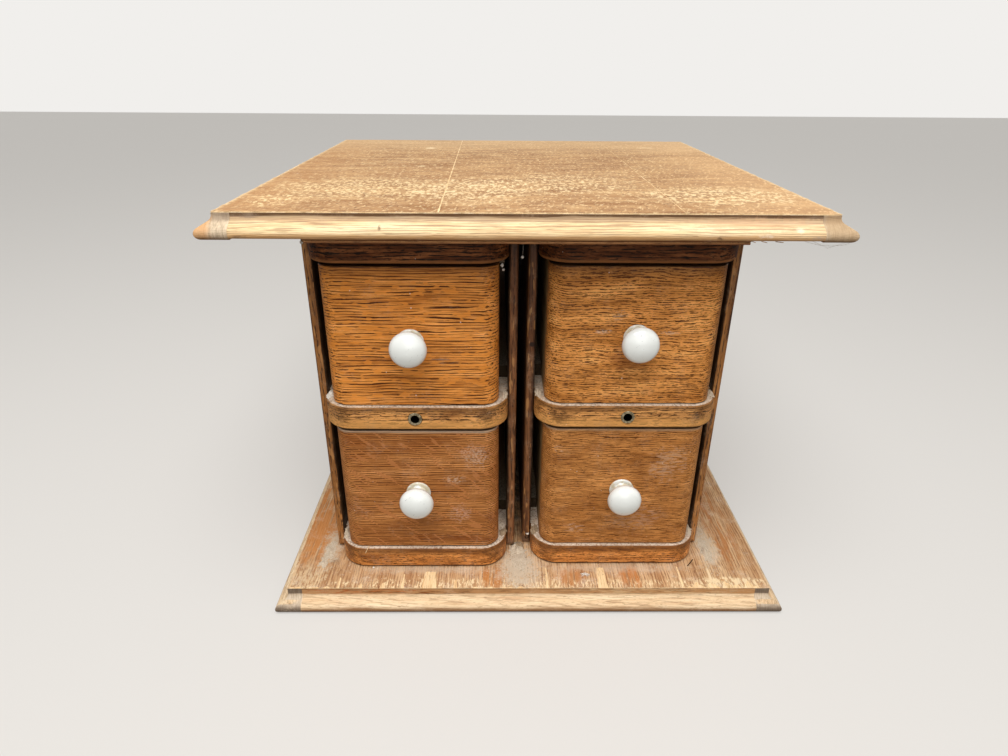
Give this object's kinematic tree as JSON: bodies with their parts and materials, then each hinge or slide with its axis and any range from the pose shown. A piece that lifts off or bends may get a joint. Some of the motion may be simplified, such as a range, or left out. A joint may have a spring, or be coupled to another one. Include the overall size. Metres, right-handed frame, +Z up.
{
  "type": "tabletop chest of drawers",
  "caption": "Tabletop chest of narrow oak drawer cases side by side between moulded boards, with round porcelain knobs and a turning lock cam behind the keyhole of each case.",
  "frame": {"origin": "on the floor, under the middle of the whole chest", "axes": "+X to the right seen from the front, +Y from the front to the back, +Z up"},
  "size_m": [0.485, 0.4946, 0.371],
  "materials": {
    "top_oak": "worn, faded oak veneer and moulding",
    "base_oak": "worn, brown oak veneer and moulding",
    "case_oak": "aged, varnished brown oak",
    "drawer_oak": "varnished golden oak",
    "inner_wood": "plain unfinished wood",
    "porcelain": "glossy white glaze",
    "aged_brass": "dull, darkened brass",
    "dull_steel": "dull steel"
  },
  "bodies": {
    "cabinet": {"base_back_lipping": "base_oak", "base_core": "inner_wood", "base_front_lipping": "base_oak", "base_screws": "dull_steel", "base_side_lippings": "base_oak", "base_veneer": "base_oak", "left_back_rails": "inner_wood", "left_bottom_rail": "case_oak", "left_inner_panel": "case_oak", "left_keyhole_bush": "aged_brass", "left_middle_rail": "case_oak", "left_outer_panel": "case_oak", "left_runners": "inner_wood", "left_top_rail": "case_oak", "right_back_rails": "inner_wood", "right_bottom_rail": "case_oak", "right_inner_panel": "case_oak", "right_keyhole_bush": "aged_brass", "right_middle_rail": "case_oak", "right_outer_panel": "case_oak", "right_runners": "inner_wood", "right_top_rail": "case_oak", "top_back_lipping": "top_oak", "top_core": "inner_wood", "top_front_lipping": "top_oak", "top_front_strip": "top_oak", "top_screws": "dull_steel", "top_side_lippings": "top_oak", "top_veneer": "top_oak"},
    "upper_left_drawer": {"upper_left_drawer_back": "inner_wood", "upper_left_drawer_bottom": "inner_wood", "upper_left_drawer_front": "drawer_oak", "upper_left_drawer_left_side": "inner_wood", "upper_left_drawer_right_side": "inner_wood", "upper_left_knob": "porcelain", "upper_left_knob_screw": "dull_steel"},
    "lower_left_drawer": {"lower_left_drawer_back": "inner_wood", "lower_left_drawer_bottom": "inner_wood", "lower_left_drawer_front": "drawer_oak", "lower_left_drawer_left_side": "inner_wood", "lower_left_drawer_right_side": "inner_wood", "lower_left_knob": "porcelain", "lower_left_knob_screw": "dull_steel"},
    "upper_right_drawer": {"upper_right_drawer_back": "inner_wood", "upper_right_drawer_bottom": "inner_wood", "upper_right_drawer_front": "drawer_oak", "upper_right_drawer_left_side": "inner_wood", "upper_right_drawer_right_side": "inner_wood", "upper_right_knob": "porcelain", "upper_right_knob_screw": "dull_steel"},
    "lower_right_drawer": {"lower_right_drawer_back": "inner_wood", "lower_right_drawer_bottom": "inner_wood", "lower_right_drawer_front": "drawer_oak", "lower_right_drawer_left_side": "inner_wood", "lower_right_drawer_right_side": "inner_wood", "lower_right_knob": "porcelain", "lower_right_knob_screw": "dull_steel"},
    "left_lock": {"left_lock_cam": "aged_brass"},
    "right_lock": {"right_lock_cam": "aged_brass"}
  },
  "joints": [
    {"name": "upper_left_slide", "type": "slide", "parent": "cabinet", "child": "upper_left_drawer", "axis": [0, -1, 0], "range_m": [0, 0.3]},
    {"name": "lower_left_slide", "type": "slide", "parent": "cabinet", "child": "lower_left_drawer", "axis": [0, -1, 0], "range_m": [0, 0.3]},
    {"name": "upper_right_slide", "type": "slide", "parent": "cabinet", "child": "upper_right_drawer", "axis": [0, -1, 0], "range_m": [0, 0.3]},
    {"name": "lower_right_slide", "type": "slide", "parent": "cabinet", "child": "lower_right_drawer", "axis": [0, -1, 0], "range_m": [0, 0.3]},
    {"name": "left_lock_turn", "type": "hinge", "parent": "cabinet", "child": "left_lock", "pos_m": [-0.0977, -0.19075, 0.1876], "axis": [0, 1, 0], "range_deg": [0, 90]},
    {"name": "right_lock_turn", "type": "hinge", "parent": "cabinet", "child": "right_lock", "pos_m": [0.0887, -0.18655, 0.1876], "axis": [0, 1, 0], "range_deg": [0, 90]}
  ]
}
